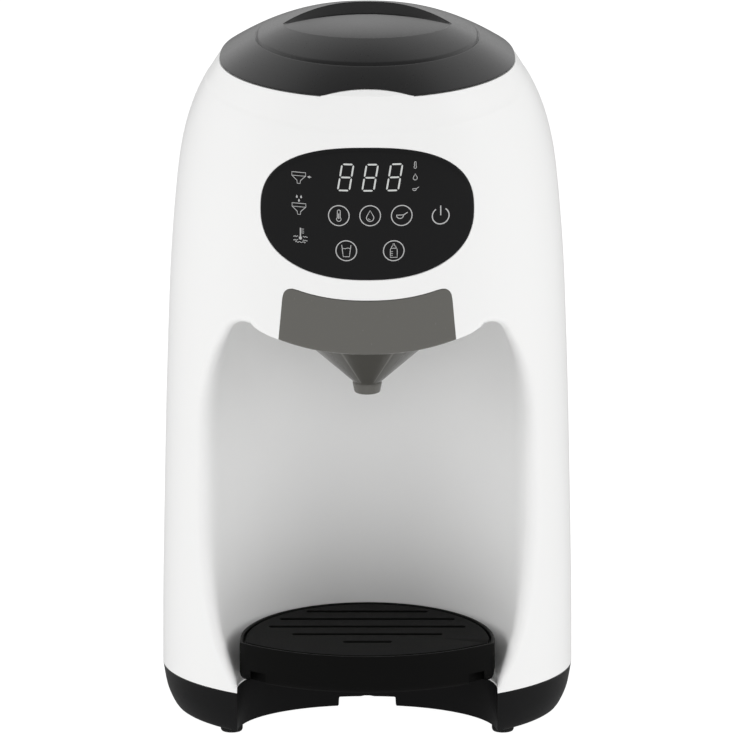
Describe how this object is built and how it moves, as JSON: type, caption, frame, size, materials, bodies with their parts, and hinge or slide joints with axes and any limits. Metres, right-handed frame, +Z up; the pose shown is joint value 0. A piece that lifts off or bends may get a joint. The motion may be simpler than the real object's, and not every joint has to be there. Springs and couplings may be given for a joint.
{
  "type": "bottle warmer and formula maker",
  "caption": "Countertop formula maker with bottle warmer: round-topped housing, open bottle bay, slide-out funnel, drip tray, powder hopper and lift-off tank.",
  "frame": {"origin": "centre of the bounding box on the surface that the feet stand on", "axes": "+Z up, -Y towards the user (the open bottle bay), +X to the right seen from the front"},
  "size_m": [0.176, 0.1794, 0.3098],
  "materials": {
    "white_housing": "smooth white ABS with a soft satin gloss",
    "black_base": "black moulded ABS, satin",
    "lid_plastic": "charcoal ABS with a fine matt grain",
    "tray_plastic": "black polypropylene, satin",
    "panel_glass": "black printed cover, high gloss",
    "funnel_plastic": "warm grey polypropylene, half gloss",
    "tank_plastic": "smoky clear moulded plastic",
    "clear_plastic": "frosted clear plastic",
    "foot_rubber": "black rubber",
    "silicone": "translucent white silicone",
    "steel": "zinc plated steel",
    "motor_alloy": "cast and turned aluminium",
    "inner_plastic": "natural grey moulded nylon",
    "circuit_board": "green solder mask",
    "black_part": "black moulded plastic"
  },
  "bodies": {
    "housing": {"front_shell": "white_housing", "rear_shell": "white_housing", "base_pan": "black_base", "foot_front_left": "foot_rubber", "foot_front_right": "foot_rubber", "foot_rear_left": "foot_rubber", "foot_rear_right": "foot_rubber", "base_screw_1": "steel", "base_screw_2": "steel", "base_screw_3": "steel", "base_screw_4": "steel", "deck_screw_1": "steel", "deck_screw_2": "steel", "deck_screw_3": "steel", "deck_screw_4": "steel", "motor_screw_1": "steel", "motor_screw_2": "steel", "touch_panel": "panel_glass", "light_guide": "silicone", "display_board": "circuit_board", "funnel_guide": "inner_plastic", "head_deck": "inner_plastic", "powder_chute": "inner_plastic", "water_spout": "silicone", "gear_motor": "motor_alloy", "hopper_seat": "inner_plastic", "tank_seat": "inner_plastic", "tank_seal": "silicone", "water_pump": "black_part", "heater": "motor_alloy", "heater_bracket": "steel", "temperature_sensor": "steel", "inlet_hose": "silicone", "pump_hose": "silicone", "hot_hose": "silicone", "board_carrier": "inner_plastic", "power_board": "circuit_board", "main_board": "circuit_board", "power_inlet": "black_part", "ribbon_cable": "black_part"},
    "hopper": {"powder_hopper": "clear_plastic", "wiper_plate": "inner_plastic"},
    "wheel": {"dosing_wheel": "inner_plastic", "stirrer": "inner_plastic"},
    "coupler": {"drive_coupler": "black_part"},
    "lid": {"lid_shell": "lid_plastic", "lid_liner": "inner_plastic", "lid_seal": "silicone"},
    "funnel": {"funnel": "funnel_plastic"},
    "tray": {"drip_tray": "tray_plastic"},
    "grille": {"drip_grille": "tray_plastic"},
    "tank": {"water_tank": "tank_plastic"},
    "tank_lid": {"tank_lid": "white_housing"},
    "valve": {"valve_plunger": "black_part", "valve_spring": "steel"}
  },
  "joints": [
    {"name": "hopper_lift", "type": "slide", "parent": "housing", "child": "hopper", "axis": [0, 0, 1], "range_m": [0, 0.12]},
    {"name": "lid_lift", "type": "slide", "parent": "hopper", "child": "lid", "axis": [0, 0, 1], "range_m": [0, 0.06]},
    {"name": "coupler_spin", "type": "hinge", "parent": "housing", "child": "coupler", "pos_m": [0, -0.02132, 0.226], "axis": [0, 0, 1], "continuous": true},
    {"name": "wheel_spin", "type": "hinge", "parent": "hopper", "child": "wheel", "pos_m": [0, -0.02132, 0.242], "axis": [0, 0, 1], "continuous": true},
    {"name": "funnel_slide", "type": "slide", "parent": "housing", "child": "funnel", "axis": [0, -1, 0], "range_m": [0, 0.09]},
    {"name": "tray_slide", "type": "slide", "parent": "housing", "child": "tray", "axis": [0, -1, 0], "range_m": [0, 0.1]},
    {"name": "grille_lift", "type": "slide", "parent": "tray", "child": "grille", "axis": [0, 0, 1], "range_m": [0, 0.04]},
    {"name": "tank_lift", "type": "slide", "parent": "housing", "child": "tank", "axis": [0, 0, 1], "range_m": [0, 0.12]},
    {"name": "tank_lid_lift", "type": "slide", "parent": "tank", "child": "tank_lid", "axis": [0, 0, 1], "range_m": [0, 0.06]},
    {"name": "valve_open", "type": "slide", "parent": "tank", "child": "valve", "axis": [0, 0, 1], "range_m": [0, 0.003], "stiffness_N_per_m": 120, "springref_m": -0.004, "deforming": ["valve_spring"]}
  ],
  "couplings": [
    {"joint": "coupler_spin", "follows": "wheel_spin", "ratio": 1}
  ]
}
